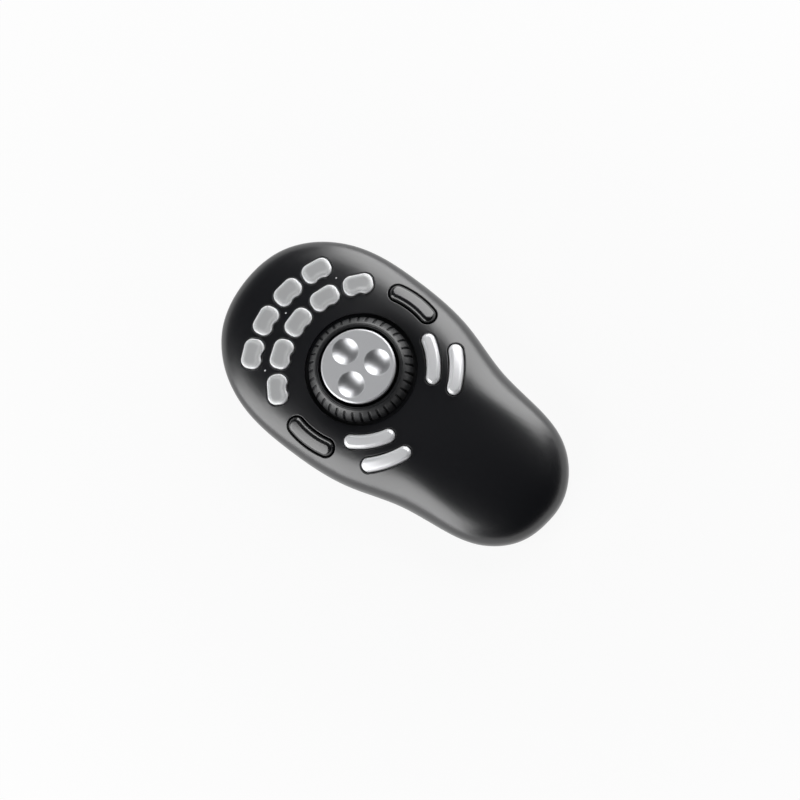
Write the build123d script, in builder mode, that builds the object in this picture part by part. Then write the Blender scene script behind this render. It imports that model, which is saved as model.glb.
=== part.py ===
"""Shuttle and jog controller for editing sound and film, in millimetres.

The origin is on the table under the middle of the body, +X to the right, +Y to the head with the
keys and +Z up. The wheel axis stands on the centre line, nearer to the head than to the palm rest.
"""
import os
from math import atan2, cos, degrees, radians, sin

from build123d import *

# Body
body_length = 201.5
body_width = 109.0
deck_height = 27.5
wheel_reach = 80.8
parting_height = 8.0
foot_stand = 1.5
wall = 2.4
base_floor = 2.2
base_edge = 3.0
shadow_step = 0.4
tongue_gap = 1.0
tongue_thickness = 1.4
tongue_height = 2.0
crown_power = 2.0
crown_root = 3.0
crown_steps = 12
palm_swell = 2.6
head_droop = 2.4
land_margin = 2.8

# Wheel
dial_radius = 19.0
dial_thickness = 4.0
dial_chamfer = 0.8
dial_gap = 1.7
dial_step = 2.2
dimple_radius = 6.9
dimple_depth = 2.7
dimple_circle = 10.0
dimple_count = 3
dimple_turn = 78.0
ring_rise = 8.3
ring_sink = 2.3
ring_lip = 1.5
ring_lip_round = 0.6
carrier_web = 2.0
tread_width = 4.7
tread_bulge = 1.1
tread_skirt = 1.8
tread_thickness = 1.6
tread_gap = 0.05
tread_lip = 1.2
tread_step = 0.3
groove_count = 36
groove_width = 0.9
groove_depth = 0.8
groove_land = 0.7
well_gap = 1.9
well_wall = 2.0
well_floor = 2.0
well_clearance = 0.8
shuttle_range = 75.0

# Wheel bearing, return spring and sensing
sleeve_bore = 9.2
sleeve_wall = 2.0
sleeve_tail = 3.6
bearing_gap = 0.15
collar_wall = 2.3
collar_length = 5.0
retainer_thickness = 1.0
retainer_width = 1.8
retainer_groove = 0.5
code_disc_radius = 19.0
code_disc_thickness = 0.8
code_slot_count = 24
code_slot_width = 1.2
code_slot_length = 3.0
code_slot_margin = 1.2
stop_pin_radius = 1.0
stop_gap = 0.3
spring_wire = 0.9
spring_turns = 2
spring_pitch = 1.5
spring_ease = 0.85
spring_leg_end = 1.5
sensor_length = 5.0
sensor_width = 4.0
sensor_gap = 0.6

# Jog hub and encoder
hub_inset = 0.8
hub_plate = 2.2
hub_skirt = 1.6
hub_clearance = 0.8
hub_stem_radius = 6.2
encoder_width = 12.0
encoder_height = 6.5
encoder_corner = 1.0
bushing_radius = 3.6
bushing_height = 6.0
shaft_radius = 3.0
shaft_gap = 0.1
shaft_foot = 4.0
bond_gap = 0.03

# Label keys
key_width = 15.4
key_depth = 10.6
key_corner = 4.4
key_spacing = 3.0
key_rise = 1.9
key_edge = 0.8
row_offset = 7.3
row_setback = 9.4
row_spacing = 4.6
notch_radius = 4.0
notch_depth = 0.9
notch_blend = 1.6
cap_wall = 0.9
label_thickness = 0.2
seat_gap = 0.05

# Arc keys
black_width = 8.6
black_length = 28.0
black_offset = 10.2
black_rise = 2.2
black_edge = 2.7
silver_width = 7.0
silver_length = 26.5
silver_offset = 4.9
silver_spacing = 4.6
silver_rise = 2.4
silver_edge = 2.2
silver_inner_turn = 45.0
silver_outer_turn = 53.5

# Key fit and travel
key_clearance = 0.55
aperture_round = 0.5
flange_lip = 0.6
flange_thickness = 1.2
flange_length = 10.0
flange_gap = 2.8
stem_radius = 1.6
stem_entry = 0.3
stem_gap = 0.25
key_travel = 1.0

# Circuit board
board_height = 8.2
board_thickness = 1.6
board_inset = 6.0
board_tail = 25.0
board_notch = 1.0
switch_width = 6.0
switch_height = 2.5
switch_edge = 0.4
chip_width = 10.0
chip_height = 1.4
chip_place = 32.0
header_length = 10.0
header_width = 4.0
header_height = 2.8
header_wall = 0.7
header_setback = 2.0

# Fasteners, feet and gland
screw_radius = 1.5
screw_head_radius = 2.7
screw_head_height = 2.0
screw_sink = 0.6
screw_grip = 5.0
screw_fit = 0.05
screw_slot = 1.2
screw_play = 0.2
boss_radius = 3.4
boss_foot_radius = 4.4
board_screw_radius = 1.1
board_screw_head_radius = 2.1
board_screw_head_height = 1.4
board_screw_length = 3.0
standoff_radius = 3.0
foot_radius = 7.0
foot_seat = 0.8
foot_edge = 0.5
gland_bore = 1.9
gland_neck = 2.9
gland_flange = 3.9
gland_flange_thickness = 1.0
gland_sink = 0.3
gland_gap = 0.15
overrun = 1.0

# Right half of the plan outline, tail tip to head tip: shares of half the width and half the length
outline_shares = [
    (0.0, -1.0), (0.36, -0.95), (0.62, -0.8), (0.727, -0.58), (0.79, -0.345), (0.935, -0.08),
    (1.0, 0.29), (0.945, 0.59), (0.77, 0.795), (0.46, 0.945), (0.0, 1.0),
]
# Places on the base, as shares of half the width and half the length
screw_shares = [(-0.7, 0.625), (0.7, 0.625), (-0.63, -0.3), (0.63, -0.3), (0.0, -0.84)]
foot_shares = [(-0.52, 0.74), (0.52, 0.74), (-0.4, -0.72), (0.4, -0.72)]
board_screw_shares = [(-0.41, 0.48), (0.41, 0.48), (-0.26, -0.19), (0.26, -0.19)]

half_length = body_length / 2
half_width = body_width / 2
wheel_y = half_length - wheel_reach
ceiling = 2 * deck_height
wheel_axis = Axis((0, wheel_y, 0), (0, 0, 1))
wheel_plane = Plane(origin=(0, wheel_y, 0), x_dir=(1, 0, 0), z_dir=(0, -1, 0))

# Wheel heights and radii, from the deck at the wheel axis
ring_bore = dial_radius + dial_gap
tread_top_radius = ring_bore + ring_lip
tread_radius = tread_top_radius + tread_width
well_radius = tread_radius + well_gap
ring_top = deck_height + ring_rise
ring_base = deck_height - ring_sink
dial_top = ring_top + dial_step
dial_base = dial_top - dial_thickness
floor_top = ring_base - well_clearance
floor_base = floor_top - well_floor
collar_base = floor_base - collar_length
sleeve_radius = sleeve_bore + sleeve_wall
collar_bore = sleeve_radius + bearing_gap
collar_radius = collar_bore + collar_wall
sleeve_base = collar_base - sleeve_tail
retainer_top = collar_base - bearing_gap
code_disc_top = retainer_top - retainer_thickness - seat_gap
board_top = board_height + board_thickness
switch_top = board_top + switch_height
stem_base = switch_top - stem_entry
land_radius = well_radius - land_margin


def base_places(shares):
    """Plan places from a table of shares."""
    return [(across * half_width, along * half_length) for across, along in shares]


screw_places = base_places(screw_shares)
foot_places = base_places(foot_shares)
board_screw_places = base_places(board_screw_shares)
os.makedirs("parts", exist_ok=True)


def save(piece, name):
    """Label a finished piece and write it as its own node."""
    piece.part.label = name
    export_step(piece.part, f"parts/{name}.step")


right_side = base_places(outline_shares)
plan_points = right_side + [(-x, y) for x, y in right_side[-2:0:-1]]
plan_chords = [(Vector(end) - Vector(start)).length
               for start, end in zip(plan_points, plan_points[1:] + plan_points[:1])]
plan_lengths = [sum(plan_chords[:count]) for count in range(len(plan_chords) + 1)]
with BuildLine() as plan:
    plan_curve = Spline(*plan_points, periodic=True)


def inset_points(inset):
    """Points of the plan outline, each moved straight inwards by inset."""
    places = []
    for x, y in plan_points:
        tangent = plan_curve.tangent_at(Vector(x, y))
        places.append((x - inset * tangent.Y, y + inset * tangent.X))
    return places


def body_outline(inset):
    """Plan of the body, a smooth closed curve, moved inwards by inset."""
    with BuildSketch() as outline:
        with BuildLine():
            Spline(*inset_points(inset), periodic=True)
        make_face()
    return outline.sketch


def crown_ring(share, inset):
    """Closed curve round the domed top, at a share of the way in from the plan to the wheel's land.

    The height is a superellipse of that share, swollen over the palm and drawn down at the head."""
    points = []
    for x, y in inset_points(inset):
        foot = Vector(x, y)
        turn = atan2(y - wheel_y, x)
        land = Vector(land_radius * cos(turn), wheel_y + land_radius * sin(turn))
        place = foot + (land - foot) * share
        swell = palm_swell * ((1 - sin(turn)) / 2) ** 3 - head_droop * ((1 + sin(turn)) / 2) ** 3
        rise = (deck_height - parting_height) * (1 - (1 - share) ** crown_power) ** (1 / crown_root)
        points.append((place.X, place.Y, parting_height + rise + 4 * share * (1 - share) * swell))
    return Wire([Edge.make_spline(points, periodic=True, parameters=plan_lengths)])


def crown(inset):
    """Solid under the domed top, from the parting plane up, drawn in by inset."""
    shares = [(step / crown_steps) ** crown_root for step in range(crown_steps + 1)]
    return Solid.make_loft([crown_ring(share, inset) for share in shares])


def lifted(dome, lift):
    """A dome moved straight up by lift."""
    return dome.moved(Location((0, 0, lift)))


def pillar(outline, dome):
    """Straight prism on an outline, ended by a dome above it."""
    with BuildPart() as block:
        extrude(outline, amount=ceiling)
        add(dome, mode=Mode.INTERSECT)
    return block.part


# Domes of the deck and of the inside of the shell, and the levels of the keys from the deck
deck_dome = crown(0)
cavity_dome = lifted(crown(wall), -wall)
rib_dome = lifted(deck_dome, -wall / 2)
flange_level = -wall - flange_gap
flange_base_level = flange_level - flange_thickness
cap_inner_level = key_rise - cap_wall
label_top_level = cap_inner_level - seat_gap
label_base_level = label_top_level - label_thickness
core_level = label_base_level - seat_gap

# Return spring and end stop, on the line from the wheel axis to the tail
coil_radius = collar_radius + spring_ease + spring_wire / 2
leg_offset = stop_pin_radius + stop_gap + spring_wire / 2
post_circle = coil_radius + leg_offset + spring_wire / 2 + stop_pin_radius
pin_circle = post_circle + 2 * stop_pin_radius + 2 * stop_gap + spring_wire
pin_base = floor_base - spring_turns * spring_pitch - spring_wire - 2 * stop_gap

# Label key planes: two concentric rows round a point behind the wheel axis, notches to the wheel
row_centre_y = wheel_y - row_setback
inner_row_radius = row_setback + well_radius + row_offset + key_depth / 2
outer_row_radius = inner_row_radius + key_depth + row_spacing
key_pitch = key_width + key_spacing


def row_planes(radius, steps):
    """A plane for each key of a row, at whole or half steps of the key pitch from the centre line."""
    planes = []
    for step in steps:
        turn = radians(90) - step * key_pitch / radius
        outward = Vector(cos(turn), sin(turn))
        along = Vector(sin(turn), -cos(turn))
        planes.append(Plane(origin=Vector(0, row_centre_y) + outward * radius, x_dir=along, z_dir=(0, 0, 1)))
    return planes


label_planes = row_planes(outer_row_radius, (-1.5, -0.5, 0.5, 1.5))
label_planes += row_planes(inner_row_radius, (-2, -1, 0, 1, 2))


def label_outline(plane, grow):
    """Kidney outline of a label key: a rounded block with a fingernail notch, grown by grow."""
    notch_centre = (0, notch_depth - notch_radius - key_depth / 2)
    with BuildSketch(plane) as outline:
        RectangleRounded(key_width + 2 * grow, key_depth + 2 * grow, key_corner + grow)
        with Locations(notch_centre):
            Circle(notch_radius - grow, mode=Mode.SUBTRACT)
        corners = outline.vertices().sort_by_distance(notch_centre)[:2]
        fillet(corners, notch_blend + grow)
    return outline.sketch


def arc_outline(radius, middle, length, width, grow):
    """Round-ended bar bent about the wheel axis, grown by grow."""
    sweep_angle = degrees((length - width) / radius)
    with BuildSketch() as outline:
        SlotArc(CenterArc((0, wheel_y), radius, middle - sweep_angle / 2, sweep_angle), width + 2 * grow)
    return outline.sketch


def stem_outline(place):
    """Round stem of a key, on its switch."""
    with BuildSketch(Plane.XY.offset(stem_base)) as outline:
        with Locations(place):
            Circle(stem_radius)
    return outline.sketch


def wheel_place(radius, turn):
    """Plan place on a circle about the wheel axis."""
    return (radius * cos(radians(turn)), wheel_y + radius * sin(radians(turn)))


# Arc keys as node name, radius, turn, length, width, rise over the deck and edge round
black_radius = well_radius + black_offset + black_width / 2
silver_inner_radius = well_radius + silver_offset + silver_width / 2
silver_outer_radius = silver_inner_radius + silver_width + silver_spacing
arc_keys = []
for number, turn in enumerate((180, 0), 1):
    arc_keys.append((f"black_key_{number}", black_radius, turn, black_length, black_width,
                     black_rise, black_edge))
silver_turns = (
    (silver_inner_radius, 180 + silver_inner_turn), (silver_outer_radius, 180 + silver_outer_turn),
    (silver_inner_radius, -silver_inner_turn), (silver_outer_radius, -silver_outer_turn),
)
for number, (radius, turn) in enumerate(silver_turns, 1):
    arc_keys.append((f"silver_key_{number}", radius, turn, silver_length, silver_width,
                     silver_rise, silver_edge))
switch_places = [(plane.origin.X, plane.origin.Y) for plane in label_planes]
switch_places += [wheel_place(radius, turn) for name, radius, turn, *sizes in arc_keys]

# Cable gland: a grommet in a round hole at the head, half in each shell
gland_face = half_length - gland_sink
gland_shoulder = gland_face - gland_flange_thickness
gland_neck_end = half_length - wall - gland_sink
gland_end = gland_neck_end - gland_flange_thickness
gland_seat = ((half_length + overrun, gland_shoulder - gland_gap, gland_flange + gland_gap),
              (half_length, gland_end - overrun, gland_neck + gland_gap),
              (half_length - wall, gland_end - overrun, gland_flange + gland_gap))
with BuildPart() as gland_cut:
    for front, back, radius in gland_seat:
        with BuildSketch(Plane.XZ.offset(-front)):
            with Locations((0, parting_height)):
                Circle(radius)
        extrude(amount=front - back)

# Upper shell: a domed moulding with its apertures, hollowed, with the wheel well moulded in
with BuildPart() as apertures:
    for plane in label_planes:
        extrude(label_outline(plane, key_clearance), amount=ceiling)
    for name, radius, turn, length, width, *edge in arc_keys:
        extrude(arc_outline(radius, turn, length, width, key_clearance), amount=ceiling)
    with BuildSketch():
        with Locations((0, wheel_y)):
            Circle(well_radius)
    extrude(amount=ceiling)
with BuildPart() as upper_shell:
    add(deck_dome)
    add(cavity_dome, mode=Mode.SUBTRACT)
    add(gland_cut.part, mode=Mode.SUBTRACT)
    add(apertures.part, mode=Mode.SUBTRACT)
    deck = upper_shell.faces().sort_by(SortBy.AREA)[-1]
    rims = [edge for wire in deck.inner_wires() for edge in wire.edges()]
    well_side = upper_shell.faces().filter_by(GeomType.CYLINDER).sort_by(SortBy.AREA)[-1]
    rims.append(well_side.edges().sort_by(Axis.Z)[-1])
    fillet(rims, radius=aperture_round)
    with BuildSketch(Plane.XY.offset(floor_base)) as well_tube:
        with Locations((0, wheel_y)):
            Circle(well_radius + well_wall)
            Circle(well_radius, mode=Mode.SUBTRACT)
    add(pillar(well_tube.sketch, rib_dome))
    with BuildSketch(Plane.XY.offset(floor_base)):
        with Locations((0, wheel_y)):
            Circle(well_radius + well_wall / 2)
    extrude(amount=well_floor)
    with BuildSketch(Plane.XY.offset(collar_base)):
        with Locations((0, wheel_y)):
            Circle(collar_radius)
        with Locations(wheel_place(post_circle, -90)):
            Circle(stop_pin_radius)
    extrude(amount=floor_top - collar_base)
    with BuildSketch(Plane.XY.offset(collar_base)):
        with Locations((0, wheel_y)):
            Circle(collar_bore)
        SlotArc(CenterArc((0, wheel_y), pin_circle, -90 - shuttle_range, 2 * shuttle_range),
                2 * stop_pin_radius + 2 * stop_gap)
    extrude(amount=floor_top - collar_base + overrun, mode=Mode.SUBTRACT)
    with BuildSketch(Plane.XY.offset(parting_height)) as bosses:
        with Locations(*screw_places):
            Circle(boss_radius)
    add(pillar(bosses.sketch, rib_dome))
    with Locations(*[Location((x, y, parting_height), (180, 0, 0)) for x, y in screw_places]):
        Hole(screw_radius + screw_fit, depth=screw_grip + overrun)
save(upper_shell, "upper_shell")

# Lower shell: a shallow tray with a locating tongue, screw bosses, board standoffs and foot seats
floor_level = foot_stand + base_floor
with BuildPart() as lower_shell:
    with BuildSketch(Plane.XY.offset(foot_stand)):
        add(body_outline(shadow_step))
    extrude(amount=parting_height - foot_stand)
    fillet(lower_shell.faces().sort_by(Axis.Z)[0].edges(), radius=base_edge)
    with BuildSketch(Plane.XY.offset(floor_level)):
        add(body_outline(shadow_step + wall))
    extrude(amount=parting_height, mode=Mode.SUBTRACT)
    with BuildSketch(Plane.XY.offset(floor_level)):
        add(body_outline(wall + tongue_gap))
        add(body_outline(wall + tongue_gap + tongue_thickness), mode=Mode.SUBTRACT)
    extrude(amount=parting_height + tongue_height - floor_level)
    with BuildSketch(Plane.XY.offset(floor_level)):
        with Locations(*screw_places):
            Circle(boss_foot_radius)
    extrude(amount=parting_height - floor_level)
    with BuildSketch(Plane.XY.offset(floor_level)):
        with Locations(*board_screw_places):
            Circle(standoff_radius)
    extrude(amount=board_height - floor_level)
    with Locations(*[Location((x, y, board_height)) for x, y in board_screw_places]):
        Hole(board_screw_radius + screw_fit, depth=board_screw_length + overrun)
    with Locations(*[Location((x, y, foot_stand), (180, 0, 0)) for x, y in screw_places]):
        CounterBoreHole(screw_radius + screw_play, screw_head_radius + screw_play,
                        screw_sink + screw_head_height, depth=parting_height)
    with BuildSketch(Plane.XY.offset(foot_stand)):
        with Locations(*foot_places):
            Circle(foot_radius + seat_gap)
    extrude(amount=foot_seat, mode=Mode.SUBTRACT)
    add(gland_cut.part, mode=Mode.SUBTRACT)
save(lower_shell, "lower_shell")

# Rubber feet, stuck into round seats
with BuildPart() as rubber_feet:
    with BuildSketch():
        with Locations(*foot_places):
            Circle(foot_radius)
    extrude(amount=foot_stand + foot_seat)
    chamfer(rubber_feet.faces().group_by(Axis.Z)[0].edges(), length=foot_edge)
save(rubber_feet, "rubber_feet")

# Case screws, from below through the tray into the bosses of the upper shell
with BuildPart() as case_screws:
    with BuildSketch(Plane.XY.offset(foot_stand + screw_sink)):
        with Locations(*screw_places):
            Circle(screw_head_radius)
    extrude(amount=screw_head_height)
    with BuildSketch(Plane.XY.offset(foot_stand + screw_sink + screw_head_height)):
        with Locations(*screw_places):
            Circle(screw_radius)
    extrude(amount=parting_height + screw_grip - foot_stand - screw_sink - screw_head_height)
    with BuildSketch(Plane.XY.offset(foot_stand + screw_sink)):
        with Locations(*screw_places):
            Rectangle(2 * screw_radius, screw_slot)
            Rectangle(screw_slot, 2 * screw_radius)
    extrude(amount=screw_head_height / 2, mode=Mode.SUBTRACT)
save(case_screws, "case_screws")

# Cable gland: a rubber grommet clamped between the two shells
with BuildPart() as cable_gland:
    with BuildSketch(Plane.XY.offset(parting_height)):
        with BuildLine():
            Polyline((gland_bore, gland_end), (gland_flange, gland_end), (gland_flange, gland_neck_end),
                     (gland_neck, gland_neck_end), (gland_neck, gland_shoulder),
                     (gland_flange, gland_shoulder), (gland_flange, gland_face), (gland_bore, gland_face),
                     close=True)
        make_face()
    revolve(axis=Axis((0, 0, parting_height), (0, 1, 0)))
save(cable_gland, "cable_gland")

# Main board, notched round the screw bosses, with its screws
with BuildPart() as main_board:
    with BuildSketch(Plane.XY.offset(board_height)):
        add(body_outline(board_inset))
        with Locations((0, half_length - board_tail)):
            Rectangle(body_width, body_length, mode=Mode.INTERSECT)
        with Locations(*screw_places):
            Circle(boss_radius + board_notch, mode=Mode.SUBTRACT)
        with Locations(*board_screw_places):
            Circle(board_screw_radius + screw_fit, mode=Mode.SUBTRACT)
    extrude(amount=board_thickness)
save(main_board, "main_board")
with BuildPart() as board_screws:
    with BuildSketch(Plane.XY.offset(board_top)):
        with Locations(*board_screw_places):
            Circle(board_screw_head_radius)
    extrude(amount=board_screw_head_height)
    with BuildSketch(Plane.XY.offset(board_top)):
        with Locations(*board_screw_places):
            Circle(board_screw_radius)
    extrude(amount=-board_thickness - board_screw_length)
save(board_screws, "board_screws")

# Board parts: one switch under each key, the controller chip, the cable header and the ring sensor
with BuildPart() as tact_switches:
    with BuildSketch(Plane.XY.offset(board_top)):
        with Locations(*switch_places):
            Rectangle(switch_width, switch_width)
    extrude(amount=switch_height)
    chamfer(tact_switches.faces().group_by(Axis.Z)[-1].edges(), length=switch_edge)
    with BuildSketch(Plane.XY.offset(switch_top)):
        with Locations(*switch_places):
            Circle(stem_radius + stem_gap)
    extrude(amount=-stem_entry - key_travel - stem_gap, mode=Mode.SUBTRACT)
save(tact_switches, "tact_switches")
with BuildPart() as controller_chip:
    with BuildSketch(Plane.XY.offset(board_top)):
        with Locations((0, wheel_y - chip_place)):
            Rectangle(chip_width, chip_width)
    extrude(amount=chip_height)
save(controller_chip, "controller_chip")
with BuildPart() as cable_header:
    with BuildSketch(Plane.XY.offset(board_top)):
        with Locations((0, half_length - board_inset - header_setback - header_width / 2)):
            Rectangle(header_length, header_width)
    extrude(amount=header_height)
    offset(amount=-header_wall, openings=cable_header.faces().sort_by(Axis.Z)[-1])
save(cable_header, "cable_header")
code_slot_circle = code_disc_radius - code_slot_margin - code_slot_length / 2
code_disc_base = code_disc_top - code_disc_thickness
with BuildPart() as ring_sensor:
    with BuildSketch(Plane.XY.offset(board_top)):
        with Locations(wheel_place(code_slot_circle, -90)):
            Rectangle(sensor_length, sensor_width)
    extrude(amount=code_disc_base - sensor_gap - board_top)
save(ring_sensor, "ring_sensor")

# Jog encoder on the board, with its bushing, and the shaft that turns in it
bushing_top = board_top + encoder_height + bushing_height
shaft_base = board_top + encoder_height - shaft_foot
shaft_top = dial_base - hub_plate
with BuildPart() as jog_encoder:
    with BuildSketch(Plane.XY.offset(board_top)):
        with Locations((0, wheel_y)):
            RectangleRounded(encoder_width, encoder_width, encoder_corner)
    extrude(amount=encoder_height)
    with BuildSketch(Plane.XY.offset(board_top + encoder_height)):
        with Locations((0, wheel_y)):
            Circle(bushing_radius)
    extrude(amount=bushing_height)
    with Locations((0, wheel_y, bushing_top)):
        Hole(shaft_radius + shaft_gap, depth=bushing_top - shaft_base + shaft_gap)
save(jog_encoder, "jog_encoder")
with BuildPart() as encoder_shaft:
    with BuildSketch(Plane.XY.offset(shaft_base)):
        with Locations((0, wheel_y)):
            Circle(shaft_radius)
    extrude(amount=shaft_top - shaft_base)
save(encoder_shaft, "encoder_shaft")

# Jog hub: a skirted disc on a stem, pressed on the shaft
web_top = ring_base + carrier_web
hub_radius = dial_radius - hub_inset
stem_level = bushing_top + hub_clearance
hub_base = web_top + hub_clearance
shaft_hole = shaft_radius + bond_gap
with BuildPart() as jog_hub:
    with BuildSketch(wheel_plane):
        with BuildLine():
            Polyline((shaft_hole, stem_level), (hub_stem_radius, stem_level), (hub_stem_radius, shaft_top),
                     (hub_radius - hub_skirt, shaft_top), (hub_radius - hub_skirt, hub_base),
                     (hub_radius, hub_base), (hub_radius, dial_base), (0, dial_base),
                     (0, shaft_top + bond_gap), (shaft_hole, shaft_top + bond_gap), close=True)
        make_face()
    revolve(axis=wheel_axis)
save(jog_hub, "jog_hub")

# Jog dial: a thick silver plate with a chamfered edge and three finger dimples
dimple_sphere = (dimple_radius ** 2 + dimple_depth ** 2) / (2 * dimple_depth)
dimple_turns = [dimple_turn + step * 360 / dimple_count for step in range(dimple_count)]
with BuildPart() as jog_dial:
    with BuildSketch(Plane.XY.offset(dial_base)):
        with Locations((0, wheel_y)):
            Circle(dial_radius)
    extrude(amount=dial_thickness)
    chamfer(jog_dial.faces().sort_by(Axis.Z)[-1].edges(), length=dial_chamfer)
    dimple_places = [wheel_place(dimple_circle, turn) for turn in dimple_turns]
    with Locations(*[(x, y, dial_top - dimple_depth + dimple_sphere) for x, y in dimple_places]):
        Sphere(dimple_sphere, mode=Mode.SUBTRACT)
save(jog_dial, "jog_dial")

# Shuttle carrier: ring, web and bearing sleeve in one turning, with the stop pin below
tread_seat = tread_radius - tread_thickness
retainer_base = retainer_top - retainer_thickness
with BuildPart() as shuttle_carrier:
    with BuildSketch(wheel_plane) as carrier_profile:
        with BuildLine():
            Polyline((sleeve_bore, sleeve_base), (sleeve_radius, sleeve_base), (sleeve_radius, ring_base),
                     (tread_seat, ring_base), (tread_top_radius, ring_top - tread_lip),
                     (tread_top_radius, ring_top), (ring_bore, ring_top), (ring_bore, web_top),
                     (sleeve_bore, web_top), close=True)
        make_face()
        fillet(carrier_profile.vertices().group_by(Axis.Y)[-1], radius=ring_lip_round)
    revolve(axis=wheel_axis)
    with BuildSketch(Plane.XY.offset(retainer_base - seat_gap)):
        with Locations((0, wheel_y)):
            Circle(sleeve_radius + overrun)
            Circle(sleeve_radius - retainer_groove, mode=Mode.SUBTRACT)
    extrude(amount=retainer_thickness + 2 * seat_gap, mode=Mode.SUBTRACT)
    with BuildSketch(Plane.XY.offset(pin_base)):
        with Locations(wheel_place(pin_circle, -90)):
            Circle(stop_pin_radius)
    extrude(amount=web_top - pin_base)
save(shuttle_carrier, "shuttle_carrier")

# Shuttle tread: a rubber tyre on the carrier's cone, with finger grooves cut across its flank
tread_edge = tread_top_radius + tread_gap
tread_crest = ring_top - tread_step
with BuildPart() as grooves:
    turns = [radians(step * 360 / groove_count) for step in range(groove_count)]
    groove_planes = [Plane(origin=(0, wheel_y, 0), x_dir=(cos(turn), sin(turn), 0),
                           z_dir=(sin(turn), -cos(turn), 0)) for turn in turns]
    groove_foot = tread_radius - groove_depth
    with BuildSketch(*groove_planes):
        with BuildLine():
            flank = SagittaArc((groove_foot, ring_base + tread_skirt),
                               (tread_top_radius + groove_land, ring_top), -tread_bulge)
            Polyline(flank @ 1, (tread_radius + overrun, ring_top), (tread_radius + overrun, ring_base - overrun),
                     (groove_foot, ring_base - overrun), flank @ 0)
        make_face()
    extrude(amount=groove_width / 2, both=True)
with BuildPart() as shuttle_tread:
    with BuildSketch(wheel_plane):
        with BuildLine():
            flank = SagittaArc((tread_radius, ring_base + tread_skirt), (tread_edge, tread_crest), -tread_bulge)
            Polyline(flank @ 1, (tread_edge, ring_top - tread_lip), (tread_seat + tread_gap, ring_base),
                     (tread_radius, ring_base), flank @ 0)
        make_face()
    revolve(axis=wheel_axis)
    add(grooves.part, mode=Mode.SUBTRACT)
save(shuttle_tread, "shuttle_tread")

# Retainer: a snap ring in the sleeve's groove, under the collar, and the slotted code disc below it
with BuildPart() as shuttle_retainer:
    with BuildSketch(Plane.XY.offset(retainer_base)):
        with Locations((0, wheel_y)):
            Circle(sleeve_radius + retainer_width)
            Circle(sleeve_radius - retainer_groove + bond_gap, mode=Mode.SUBTRACT)
        with Locations((0, wheel_y + sleeve_radius)):
            Rectangle(sleeve_wall, 2 * sleeve_wall + 2 * retainer_width, mode=Mode.SUBTRACT)
    extrude(amount=retainer_thickness)
save(shuttle_retainer, "shuttle_retainer")
with BuildPart() as code_disc:
    with BuildSketch(Plane.XY.offset(code_disc_base)):
        with Locations((0, wheel_y)):
            Circle(code_disc_radius)
            Circle(sleeve_radius + bond_gap, mode=Mode.SUBTRACT)
            with PolarLocations(code_slot_circle, code_slot_count):
                Rectangle(code_slot_length, code_slot_width, mode=Mode.SUBTRACT)
    extrude(amount=code_disc_thickness)
save(code_disc, "code_disc")

# Return spring: round wire wound on the collar, its two legs astride the fixed post and the stop pin
coil_top = floor_base - stop_gap - spring_wire / 2
coil_base = coil_top - spring_turns * spring_pitch
leg_end = wheel_y - pin_circle - stop_pin_radius - spring_leg_end
leg_bend = wheel_y - coil_radius - leg_offset
bend_reach = leg_offset * sin(radians(45))
with BuildPart() as return_spring:
    with BuildLine() as wire_path:
        Line((-leg_offset, leg_end, coil_base), (-leg_offset, leg_bend, coil_base))
        ThreePointArc((-leg_offset, leg_bend, coil_base), (-bend_reach, leg_bend + bend_reach, coil_base),
                      (0, wheel_y - coil_radius, coil_base))
        for half_turn in range(2 * spring_turns):
            start = coil_base + half_turn * spring_pitch / 2
            side = coil_radius if half_turn % 2 == 0 else -coil_radius
            near = wheel_y - side
            far = wheel_y + side
            ThreePointArc((0, near, start), (side, wheel_y, start + spring_pitch / 4),
                          (0, far, start + spring_pitch / 2))
        ThreePointArc((0, wheel_y - coil_radius, coil_top), (bend_reach, leg_bend + bend_reach, coil_top),
                      (leg_offset, leg_bend, coil_top))
        Line((leg_offset, leg_bend, coil_top), (leg_offset, leg_end, coil_top))
    with BuildSketch(Plane(origin=(-leg_offset, leg_end, coil_base), z_dir=(0, 1, 0))):
        Circle(spring_wire / 2)
    sweep(path=wire_path.wire())
save(return_spring, "return_spring")


def key_tilt(place):
    """Plane that touches the deck over a place."""
    point, normal = deck_dome.find_intersection_points(Axis((*place, 0), (0, 0, 1)))[-1]
    return Plane(origin=point, z_dir=normal)


def slab(tilt, low, high):
    """Plate wider than a key, square to its tilt, between two levels from the deck."""
    with BuildPart() as plate:
        with BuildSketch(tilt.offset(low)):
            Rectangle(body_width, body_width)
        extrude(amount=high - low)
    return plate.part


def foot(flange, place, tilt):
    """The flange that holds a key under the shell, and the stem on its switch."""
    with BuildPart() as piece:
        add(pillar(flange, slab(tilt, flange_base_level, flange_level)))
        add(pillar(stem_outline(place), slab(tilt, -ceiling, flange_level)))
    return piece.part


# Arc keys: domed bars, black beside the wheel and silver below it
flange_grow = key_clearance + flange_lip
for name, radius, turn, length, width, rise, edge in arc_keys:
    place = wheel_place(radius, turn)
    tilt = key_tilt(place)
    flange = arc_outline(radius, turn, flange_length, width, flange_grow)
    with BuildPart() as key:
        add(pillar(arc_outline(radius, turn, length, width, 0), lifted(deck_dome, rise)))
        add(slab(tilt, -ceiling, flange_base_level), mode=Mode.SUBTRACT)
        fillet(key.faces().sort_by(Axis.Z)[-1].edges(), radius=edge)
        add(foot(flange, place, tilt))
    save(key, name)

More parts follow.
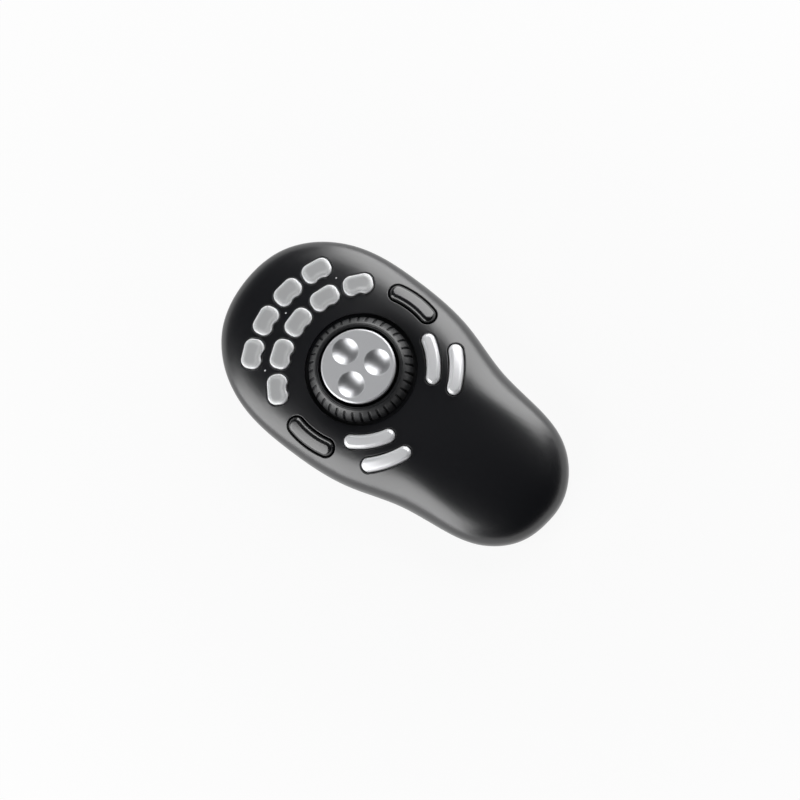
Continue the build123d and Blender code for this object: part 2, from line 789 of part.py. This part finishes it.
# Label keys: a silver base, a blank label on it and a clear cap snapped over both
for number, plane in enumerate(label_planes, 1):
    place = (plane.origin.X, plane.origin.Y)
    tilt = key_tilt(place)
    with BuildSketch(plane) as flange:
        RectangleRounded(key_width + 2 * flange_grow, key_depth + 2 * flange_grow, key_corner + flange_grow)
    core = label_outline(plane, -cap_wall - seat_gap)
    with BuildPart() as base:
        add(pillar(core, slab(tilt, flange_base_level, core_level)))
        add(foot(flange.sketch, place, tilt))
    save(base, f"label_key_{number}_base")
    with BuildPart() as label:
        add(pillar(core, slab(tilt, label_base_level, label_top_level)))
    save(label, f"label_key_{number}_label")
    with BuildPart() as cap:
        add(pillar(label_outline(plane, 0), slab(tilt, flange_level + seat_gap, key_rise)))
        fillet(cap.faces().sort_by(Axis.Z)[-1].edges(), radius=key_edge)
        hollow = label_outline(plane, -cap_wall)
        add(pillar(hollow, slab(tilt, flange_base_level, cap_inner_level)), mode=Mode.SUBTRACT)
    save(cap, f"label_key_{number}_cap")
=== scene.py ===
"""Shuttle and jog controller on a white table, seen from above as in the photograph."""
import math

import bpy
import numpy as np
from mathutils import Matrix, Vector


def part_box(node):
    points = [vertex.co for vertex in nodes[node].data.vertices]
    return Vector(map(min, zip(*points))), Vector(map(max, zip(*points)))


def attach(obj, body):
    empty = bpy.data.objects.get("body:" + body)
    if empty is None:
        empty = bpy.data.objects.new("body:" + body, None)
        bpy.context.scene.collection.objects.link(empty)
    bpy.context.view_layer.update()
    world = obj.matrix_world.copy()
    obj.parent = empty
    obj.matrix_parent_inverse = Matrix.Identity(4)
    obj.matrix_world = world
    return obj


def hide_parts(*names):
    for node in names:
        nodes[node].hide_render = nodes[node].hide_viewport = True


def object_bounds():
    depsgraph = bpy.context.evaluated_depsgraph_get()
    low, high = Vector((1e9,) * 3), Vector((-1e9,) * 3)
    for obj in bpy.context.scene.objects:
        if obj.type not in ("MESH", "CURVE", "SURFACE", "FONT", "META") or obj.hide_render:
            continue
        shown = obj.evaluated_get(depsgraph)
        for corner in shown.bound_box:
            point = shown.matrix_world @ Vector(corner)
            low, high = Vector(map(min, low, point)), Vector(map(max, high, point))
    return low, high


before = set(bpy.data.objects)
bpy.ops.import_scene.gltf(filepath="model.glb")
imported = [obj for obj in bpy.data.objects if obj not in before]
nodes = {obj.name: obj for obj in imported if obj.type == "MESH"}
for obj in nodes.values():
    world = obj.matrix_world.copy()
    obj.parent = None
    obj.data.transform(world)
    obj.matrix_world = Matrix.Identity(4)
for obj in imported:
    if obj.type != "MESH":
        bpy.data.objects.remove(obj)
cad_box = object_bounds()
scene = bpy.context.scene

# Housing: two shells of charcoal ABS with a fine spark texture from the mould, closed from below
# by screws. The texture scatters the light, so the flanks shine softly and the deck stays dark.
mottle_low_stop = 0.3
mottle_high_stop = 0.7
grain_detail = 2


def plain_material(name, colour, roughness, metallic=0.0):
    """A new principled material with its plain values set on the shader's own sockets."""
    material = bpy.data.materials.new(name)
    material.use_nodes = True
    shader = material.node_tree.nodes["Principled BSDF"]
    shader.inputs["Base Color"].default_value = (*colour, 1)
    shader.inputs["Roughness"].default_value = roughness
    shader.inputs["Metallic"].default_value = metallic
    return material


def grey(value):
    """The same value in all three channels."""
    return (value, value, value)


def mottle(material, socket, low, high, scale, detail):
    """Noise on Object coordinates, stretched between two values and fed to one socket of the shader."""
    tree = material.node_tree
    place = tree.nodes.new("ShaderNodeTexCoord")
    noise = tree.nodes.new("ShaderNodeTexNoise")
    noise.inputs["Scale"].default_value = scale
    noise.inputs["Detail"].default_value = detail
    ramp = tree.nodes.new("ShaderNodeValToRGB")
    ramp.color_ramp.elements[0].position = mottle_low_stop
    ramp.color_ramp.elements[1].position = mottle_high_stop
    ramp.color_ramp.elements[0].color = (*low, 1)
    ramp.color_ramp.elements[1].color = (*high, 1)
    tree.links.new(place.outputs["Object"], noise.inputs["Vector"])
    tree.links.new(noise.outputs["Fac"], ramp.inputs["Fac"])
    tree.links.new(ramp.outputs["Color"], tree.nodes["Principled BSDF"].inputs[socket])


def grain(material, scale, strength, depth):
    """Fine bump from noise on Object coordinates, as a spark eroded mould leaves it."""
    tree = material.node_tree
    place = tree.nodes.new("ShaderNodeTexCoord")
    noise = tree.nodes.new("ShaderNodeTexNoise")
    noise.inputs["Scale"].default_value = scale
    noise.inputs["Detail"].default_value = grain_detail
    bump = tree.nodes.new("ShaderNodeBump")
    bump.inputs["Strength"].default_value = strength
    bump.inputs["Distance"].default_value = depth
    tree.links.new(place.outputs["Object"], noise.inputs["Vector"])
    tree.links.new(noise.outputs["Fac"], bump.inputs["Height"])
    tree.links.new(bump.outputs["Normal"], tree.nodes["Principled BSDF"].inputs["Normal"])


def coat(material, *names):
    """Put a material on CAD nodes in place of their plain slot colour."""
    for name in names:
        nodes[name].data.materials.clear()
        nodes[name].data.materials.append(material)


satin_black = plain_material("satin_black", (0.0022, 0.0025, 0.004), roughness=0.31)
satin_black.node_tree.nodes["Principled BSDF"].inputs["Specular IOR Level"].default_value = 1.0
mottle(satin_black, "Roughness", grey(0.3), grey(0.33), scale=900, detail=3)
grain(satin_black, scale=3200, strength=0.05, depth=0.0002)
coat(satin_black, "upper_shell", "lower_shell")

# Feet and gland: moulded rubber, the feet glued in shallow seats of the tray and the gland held
# between the shells at the head. Both are matt, with a dusty bloom.
black_rubber = plain_material("black_rubber", (0.014, 0.014, 0.014), roughness=0.75)
mottle(black_rubber, "Base Color", grey(0.011), grey(0.019), scale=500, detail=4)
coat(black_rubber, "rubber_feet", "cable_gland")

# Screws, retainer ring and return spring: zinc plated steel, bright grey with a cloudy plating.
# The screws are headed and rolled, the ring is stamped and the spring is wound from wire.
zinc = plain_material("zinc_steel", (0.56, 0.57, 0.58), roughness=0.35, metallic=1.0)
mottle(zinc, "Roughness", grey(0.28), grey(0.45), scale=700, detail=3)
coat(zinc, "case_screws", "board_screws", "shuttle_retainer", "return_spring")

# Main board: glass fibre board under green lacquer, routed to the outline of the housing and
# screwed to the tray's standoffs. The weave shows faintly through the lacquer.
board_green = plain_material("board_green", (0.02, 0.12, 0.045), roughness=0.35)
mottle(board_green, "Base Color", (0.015, 0.1, 0.035), (0.026, 0.14, 0.055), scale=350, detail=5)
coat(board_green, "main_board")

# Switches, chip, sensor, code disc and hub: dark moulded plastic, unpolished. The first three are
# soldered to the board, the disc is bonded to the carrier's sleeve and the hub is pressed on its shaft.
dark_plastic = plain_material("dark_plastic", (0.022, 0.022, 0.023), roughness=0.5)
mottle(dark_plastic, "Roughness", grey(0.45), grey(0.58), scale=800, detail=3)
coat(dark_plastic, "tact_switches", "controller_chip", "ring_sensor", "code_disc", "jog_hub")

# Cable header: an open box of natural white nylon, soldered to the board near the gland.
# The nylon isn't coloured, so it is slightly yellow and uneven.
white_plastic = plain_material("white_plastic", (0.7, 0.69, 0.63), roughness=0.45)
mottle(white_plastic, "Base Color", (0.67, 0.66, 0.6), (0.72, 0.71, 0.66), scale=600, detail=3)
coat(white_plastic, "cable_header")

# Encoder and its shaft: nickel plated metal, the can soldered to the board and the turned shaft
# pressed into the jog hub. The plating is warm and nearly bright.
nickel = plain_material("nickel", (0.62, 0.59, 0.53), roughness=0.22, metallic=1.0)
mottle(nickel, "Roughness", grey(0.17), grey(0.28), scale=500, detail=3)
coat(nickel, "jog_encoder", "encoder_shaft")

# Shuttle carrier: a satin black moulding that turns in the well on its sleeve, held by the retainer.
# Only its lip shows, round the dial.
wheel_black = plain_material("satin_black_wheel", (0.008, 0.0083, 0.0092), roughness=0.38)
mottle(wheel_black, "Roughness", grey(0.34), grey(0.42), scale=900, detail=3)
coat(wheel_black, "shuttle_carrier")

# Shuttle tread: soft black rubber, moulded as a tyre and bonded to the carrier's cone. A finger slot
# crosses its flank every ten degrees and stops short of the upper lip. Its skin is slightly uneven.
slot_count = 36
slot_depth = 0.0009
slot_half_width = 0.0004
slot_edge = 0.00022
slot_edge_points = 4
slot_end_share = 0.84
slot_fade_share = 0.06
land_points = 5
flank_points = 33
tread_width = 0.00465
tread_skirt = 0.0018
tread_bulge = 0.0011
tread_seat_depth = 0.0012
tread_seat_width = 0.00155
tread_low, tread_high = (np.array(corner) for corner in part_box("shuttle_tread"))
wheel_centre = (tread_low + tread_high) / 2
tread_radius = (tread_high[0] - tread_low[0]) / 2


def smooth_step(share):
    """The cubic that leaves 0 and reaches 1 without a kink."""
    return share ** 2 * (3 - 2 * share)


def closed_tube_mesh(name, rings):
    """Mesh of a closed profile carried round an axis: a grid of points, joined to itself both ways."""
    turns, steps = rings.shape[:2]
    corner = np.arange(turns * steps).reshape(turns, steps)
    ahead = np.roll(corner, -1, axis=0)
    faces = np.stack([corner, ahead, np.roll(ahead, -1, axis=1), np.roll(corner, -1, axis=1)], axis=-1)
    mesh = bpy.data.meshes.new(name)
    mesh.from_pydata(rings.reshape(-1, 3).tolist(), [], faces.reshape(-1, 4).tolist())
    mesh.polygons.foreach_set("use_smooth", np.ones(turns * steps, dtype=bool))
    return mesh


def slotted_tread(name):
    """The flank is a chord from skirt to lip, bowed outwards by a parabola and pressed in along its own
    normal at each slot; a slot is a smooth step across, and fades at its upper end."""
    pitch = 2 * math.pi * tread_radius / slot_count
    wall = slot_half_width + slot_edge
    across = np.concatenate([np.linspace(-wall, -slot_half_width, slot_edge_points),
                             np.linspace(slot_half_width, wall, slot_edge_points),
                             np.linspace(wall, pitch - wall, land_points + 2)[1:-1]])
    arc = (np.arange(slot_count)[:, None] * pitch + across).ravel()
    turn = arc / tread_radius
    inside = np.clip((wall - np.abs(np.tile(across, slot_count))) / slot_edge, 0, 1)
    along = np.linspace(0, 1, flank_points)
    end = np.clip((slot_end_share - along) / slot_fade_share, 0, 1)
    skirt = np.array([tread_radius, tread_low[2] + tread_skirt])
    lip = np.array([tread_radius - tread_width, tread_high[2]])
    chord = lip - skirt
    normal = np.array([chord[1], -chord[0]]) / np.hypot(*chord)
    bow = tread_bulge * (1 - (2 * along - 1) ** 2)
    press = slot_depth * smooth_step(inside)[:, None] * smooth_step(end)[None]
    reach = bow[None] - press
    radius = skirt[0] + chord[0] * along[None] + normal[0] * reach
    height = skirt[1] + chord[1] * along[None] + normal[1] * reach
    seat = np.array([[tread_radius - tread_width, tread_high[2] - tread_seat_depth],
                     [tread_radius - tread_seat_width, tread_low[2]],
                     [tread_radius - slot_depth, tread_low[2]]])
    radius = np.concatenate([radius, np.repeat(seat[None, :, 0], len(turn), axis=0)], axis=1)
    height = np.concatenate([height, np.repeat(seat[None, :, 1], len(turn), axis=0)], axis=1)
    rings = np.stack([wheel_centre[0] + radius * np.cos(turn)[:, None],
                      wheel_centre[1] + radius * np.sin(turn)[:, None], height], axis=-1)
    return closed_tube_mesh(name, rings)


tread = bpy.data.objects.new("slotted_tread", slotted_tread("slotted_tread"))
scene.collection.objects.link(tread)
tread_rubber = plain_material("tread_rubber", (0.015, 0.0155, 0.0165), roughness=0.4)
tread_rubber.node_tree.nodes["Principled BSDF"].inputs["Specular IOR Level"].default_value = 0.75
mottle(tread_rubber, "Roughness", grey(0.34), grey(0.48), scale=700, detail=4)
grain(tread_rubber, scale=1500, strength=0.08, depth=0.0002)
tread.data.materials.append(tread_rubber)
coat(tread_rubber, "shuttle_tread")
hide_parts("shuttle_tread")
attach(tread, "shuttle")

# Jog dial: a moulded plate in silver lacquer, glued on the hub. The flat top is satin with fine metal
# flake; the three fingertip dimples and the rim are polished below it.
dial_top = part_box("jog_dial")[1][2]
polish_start = 0.0001
polish_full = 0.0005
satin_metallic, polished_metallic = 0.3, 0.9
satin_roughness, polished_roughness = 0.4, 0.42
silver_dial = plain_material("silver_dial", (0.52, 0.525, 0.54), satin_roughness)
mottle(silver_dial, "Base Color", (0.5, 0.505, 0.52), (0.54, 0.545, 0.56), scale=2500, detail=2)
tree = silver_dial.node_tree
place = tree.nodes.new("ShaderNodeTexCoord")
level = tree.nodes.new("ShaderNodeSeparateXYZ")
tree.links.new(place.outputs["Object"], level.inputs["Vector"])
for socket, satin, polished in (("Metallic", satin_metallic, polished_metallic),
                                ("Roughness", satin_roughness, polished_roughness)):
    depth = tree.nodes.new("ShaderNodeMapRange")
    depth.inputs["From Min"].default_value = dial_top - polish_full
    depth.inputs["From Max"].default_value = dial_top - polish_start
    depth.inputs["To Min"].default_value = polished
    depth.inputs["To Max"].default_value = satin
    tree.links.new(level.outputs["Z"], depth.inputs["Value"])
    tree.links.new(depth.outputs["Result"], tree.nodes["Principled BSDF"].inputs[socket])
coat(silver_dial, "jog_dial")

# Black arc keys: semi gloss plastic caps, moulded in one with their stems, one at each side of the
# wheel. A flange under the shell holds each in its opening.
black_gloss = plain_material("black_key", (0.004, 0.0042, 0.005), roughness=0.24)
black_gloss.node_tree.nodes["Principled BSDF"].inputs["Specular IOR Level"].default_value = 1.0
mottle(black_gloss, "Roughness", grey(0.24), grey(0.26), scale=900, detail=3)
coat(black_gloss, "black_key_1", "black_key_2")

# Silver arc keys and the bases of the label keys: moulded plastic in satin silver paint with fine
# flake, held under the shell by their flanges like the black keys.
silver_key = plain_material("silver_key", (0.76, 0.765, 0.78), roughness=0.36, metallic=0.35)
mottle(silver_key, "Base Color", (0.74, 0.745, 0.76), (0.78, 0.785, 0.8), scale=2500, detail=2)
coat(silver_key, *[f"silver_key_{number}" for number in range(1, 5)])
label_numbers = range(1, 10)
coat(silver_key, *[f"label_key_{number}_base" for number in label_numbers])

# Labels and caps: a blank silver card on each key base, held down by a clear snap-on cap of acrylic.
# The cap's rounded rim and walls are frosted by the mould, and its inner face reflects as well.
cap_round = 0.0036
cap_round_samples = 12
acrylic_ior = 1.49
rim_normal, top_normal = 0.75, 0.98
rim_clearness, top_clearness = 0.0, 0.6
inner_face_roughness = 0.25
silver_label = plain_material("silver_label", (0.56, 0.565, 0.58), roughness=0.4, metallic=0.1)
mottle(silver_label, "Base Color", (0.54, 0.545, 0.56), (0.58, 0.585, 0.6), scale=2000, detail=2)
coat(silver_label, *[f"label_key_{number}_label" for number in label_numbers])
clear_cap = plain_material("clear_cap", (0.92, 0.93, 0.94), roughness=0.1)
tree = clear_cap.node_tree
shader = tree.nodes["Principled BSDF"]
shader.inputs["IOR"].default_value = acrylic_ior
shader.inputs["Coat Weight"].default_value = 1.0
shader.inputs["Coat Roughness"].default_value = inner_face_roughness
rounded = tree.nodes.new("ShaderNodeBevel")
rounded.samples = cap_round_samples
rounded.inputs["Radius"].default_value = cap_round
upward = tree.nodes.new("ShaderNodeSeparateXYZ")
clearness = tree.nodes.new("ShaderNodeMapRange")
clearness.inputs["From Min"].default_value = rim_normal
clearness.inputs["From Max"].default_value = top_normal
clearness.inputs["To Min"].default_value = rim_clearness
clearness.inputs["To Max"].default_value = top_clearness
tree.links.new(rounded.outputs["Normal"], upward.inputs["Vector"])
tree.links.new(rounded.outputs["Normal"], shader.inputs["Normal"])
tree.links.new(rounded.outputs["Normal"], shader.inputs["Coat Normal"])
tree.links.new(upward.outputs["Z"], clearness.inputs["Value"])
tree.links.new(clearness.outputs["Result"], shader.inputs["Transmission Weight"])
mottle(clear_cap, "Roughness", grey(0.06), grey(0.14), scale=300, detail=2)
coat(clear_cap, *[f"label_key_{number}_cap" for number in label_numbers])

# Pips: three small points between the two rows of label keys, moulded on the upper shell. They carry
# the bright silver key material as a painted highlight, standing in for the glints the small bumps catch.
pip_places = ((-0.0298, 0.0602), (0.0298, 0.0602), (0.0, 0.07))
pip_radius = 0.00042
pip_height = 0.00022
pip_root = 0.0002
pip_sides = 20
pip_rings = 6
pip_last_ring = 0.45 * math.pi


def pip_dome(x, y):
    """Half an ellipsoid on the deck: rings of a quarter ellipse round the deck's normal, closed by a flat
    face just under the pole, and a root below the deck."""
    hit, place, normal, face = nodes["upper_shell"].ray_cast((x, y, cad_box[1][2]), (0, 0, -1))
    turn = np.linspace(0, 2 * math.pi, pip_sides, endpoint=False)[:, None]
    rise = np.linspace(0, pip_last_ring, pip_rings)[None]
    radius = np.concatenate([[[pip_radius]], pip_radius * np.cos(rise)], axis=1)
    height = np.concatenate([[[-pip_root]], pip_height * np.sin(rise)], axis=1)
    local = np.stack([radius * np.cos(turn), radius * np.sin(turn), height + 0 * turn], axis=-1)
    axes = np.array(normal.to_track_quat("Z", "Y").to_matrix())
    return local @ axes.T + np.array(place)


def domes_mesh(name, grids):
    """Mesh of several domes: each a grid of points closed round its axis, with a face at both ends."""
    corner = np.arange(grids[..., 0].size).reshape(grids.shape[:3])
    ahead = np.roll(corner, -1, axis=1)
    sides = np.stack([corner[:, :, :-1], ahead[:, :, :-1], ahead[:, :, 1:], corner[:, :, 1:]], axis=-1)
    roots = corner[:, ::-1, 0]
    tips = corner[:, :, -1]
    mesh = bpy.data.meshes.new(name)
    mesh.from_pydata(grids.reshape(-1, 3).tolist(), [],
                     sides.reshape(-1, 4).tolist() + roots.tolist() + tips.tolist())
    mesh.polygons.foreach_set("use_smooth", np.ones(len(mesh.polygons), dtype=bool))
    return mesh


pip_mesh = domes_mesh("row_pips", np.stack([pip_dome(x, y) for x, y in pip_places]))
pips = bpy.data.objects.new("row_pips", pip_mesh)
scene.collection.objects.link(pips)
# The silver key colour on the pips is a painted highlight for the glints of the small bumps.
pip_mesh.materials.append(silver_key)
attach(pips, "housing")

# Table: a wide white sheet that turns up into a low wall far behind, as in a photographer's studio.
# It shows white to the camera and in reflections, and keeps the object's soft shadow round its foot.
table_reach = 40.0
wall_height = 5.0
wall_sides = 64
shadow_reach = 0.14
white_reach = 0.5
shadow_white = 0.92
full_white = 1.0


def walled_table(name):
    """A flat disc, with its rim lifted straight up into a wall: two rings of points, with one
    many-sided face for the floor."""
    turn = np.linspace(0, 2 * math.pi, wall_sides, endpoint=False)
    rim = np.stack([table_reach * np.cos(turn), table_reach * np.sin(turn), 0 * turn], axis=-1)
    points = np.concatenate([rim, rim + (0, 0, wall_height)])
    corner = np.arange(wall_sides)
    ahead = np.roll(corner, -1)
    wall = np.stack([ahead, corner, corner + wall_sides, ahead + wall_sides], axis=-1)
    mesh = bpy.data.meshes.new(name)
    mesh.from_pydata(points.tolist(), [], [corner.tolist()] + wall.tolist())
    return mesh


table = walled_table("table")
floor = bpy.data.objects.new("table", table)
scene.collection.objects.link(floor)
table_white = plain_material("table_white", (0.6, 0.6, 0.6), roughness=0.9)
tree = table_white.node_tree
glow = tree.nodes.new("ShaderNodeEmission")
path = tree.nodes.new("ShaderNodeLightPath")
mirrored = tree.nodes.new("ShaderNodeMath")
mirrored.operation = "MAXIMUM"
seen = tree.nodes.new("ShaderNodeMath")
seen.operation = "MAXIMUM"
tree.links.new(path.outputs["Is Glossy Ray"], mirrored.inputs[0])
tree.links.new(path.outputs["Is Transmission Ray"], mirrored.inputs[1])
tree.links.new(path.outputs["Is Camera Ray"], seen.inputs[0])
tree.links.new(mirrored.outputs["Value"], seen.inputs[1])
place = tree.nodes.new("ShaderNodeTexCoord")
away = tree.nodes.new("ShaderNodeVectorMath")
away.operation = "LENGTH"
whiteness = tree.nodes.new("ShaderNodeMapRange")
whiteness.inputs["From Min"].default_value = shadow_reach
whiteness.inputs["From Max"].default_value = white_reach
whiteness.inputs["To Min"].default_value = shadow_white
whiteness.inputs["To Max"].default_value = full_white
share = tree.nodes.new("ShaderNodeMath")
share.operation = "MULTIPLY"
mix = tree.nodes.new("ShaderNodeMixShader")
tree.links.new(place.outputs["Object"], away.inputs[0])
tree.links.new(away.outputs["Value"], whiteness.inputs["Value"])
tree.links.new(seen.outputs["Value"], share.inputs[0])
tree.links.new(whiteness.outputs["Result"], share.inputs[1])
tree.links.new(share.outputs["Value"], mix.inputs["Fac"])
tree.links.new(tree.nodes["Principled BSDF"].outputs["BSDF"], mix.inputs[1])
tree.links.new(glow.outputs["Emission"], mix.inputs[2])
tree.links.new(mix.outputs["Shader"], tree.nodes["Material Output"].inputs["Surface"])
table.materials.append(table_white)

# Light: two wide soft boxes at the sides, a weaker one over the head and a dim room, as in a studio
# whose ceiling is kept dark, so that the black deck shows no glare from above.
room_colour = (0.9, 0.95, 1.0)
room_strength = 0.02
lit_point = Vector((0, 0, 0.02))


def soft_box(name, azimuth, elevation, distance, width, height, power):
    """A rectangular lamp on a sphere round the object, facing its middle; angles in degrees, from +X."""
    lamp = bpy.data.lights.new(name, "AREA")
    lamp.shape = "RECTANGLE"
    lamp.size = width
    lamp.size_y = height
    lamp.energy = power
    box = bpy.data.objects.new(name, lamp)
    scene.collection.objects.link(box)
    turn = math.radians(azimuth)
    rise = math.radians(elevation)
    outward = Vector((math.cos(turn) * math.cos(rise), math.sin(turn) * math.cos(rise), math.sin(rise)))
    box.location = lit_point + outward * distance
    box.rotation_euler = outward.to_track_quat("Z", "Y").to_euler()


room = bpy.data.worlds.new("room")
room.use_nodes = True
dim_room = room.node_tree.nodes["Background"]
dim_room.inputs["Color"].default_value = (*room_colour, 1)
dim_room.inputs["Strength"].default_value = room_strength
scene.world = room
soft_box("left", azimuth=168, elevation=23, distance=0.9, width=1.1, height=0.9, power=12.5)
soft_box("right", azimuth=12, elevation=23, distance=0.9, width=1.1, height=0.9, power=13.5)
soft_box("head", azimuth=90, elevation=18, distance=1.0, width=0.8, height=0.3, power=0.12)

# Camera: a long lens almost overhead, rolled so that the head points to the upper left. It aims at
# the middle of the housing, shifted a little to set the object in the picture as in the photograph.
camera_lens = 150
camera_distance = 1.697
camera_azimuth = math.radians(-11)
camera_elevation = math.radians(78)
camera_roll = math.radians(53)
camera_aim = Vector((0, 0, 0.016))
camera_shift_right = 0.00256
camera_shift_down = 0.002
lens = bpy.data.cameras.new("camera")
lens.lens = camera_lens
camera = bpy.data.objects.new("camera", lens)
scene.collection.objects.link(camera)
scene.camera = camera
back = Vector((math.sin(camera_azimuth) * math.cos(camera_elevation),
               -math.cos(camera_azimuth) * math.cos(camera_elevation), math.sin(camera_elevation)))
to_head = Vector((0, 1, 0))
to_head = (to_head - back * to_head.dot(back)).normalized()
side = to_head.cross(back)
right = side * math.cos(camera_roll) - to_head * math.sin(camera_roll)
up = side * math.sin(camera_roll) + to_head * math.cos(camera_roll)
spot = camera_aim + right * camera_shift_right - up * camera_shift_down + back * camera_distance
camera.matrix_world = Matrix(((right.x, up.x, back.x, spot.x), (right.y, up.y, back.y, spot.y),
                              (right.z, up.z, back.z, spot.z), (0, 0, 0, 1)))

scene.view_settings.view_transform = "Standard"
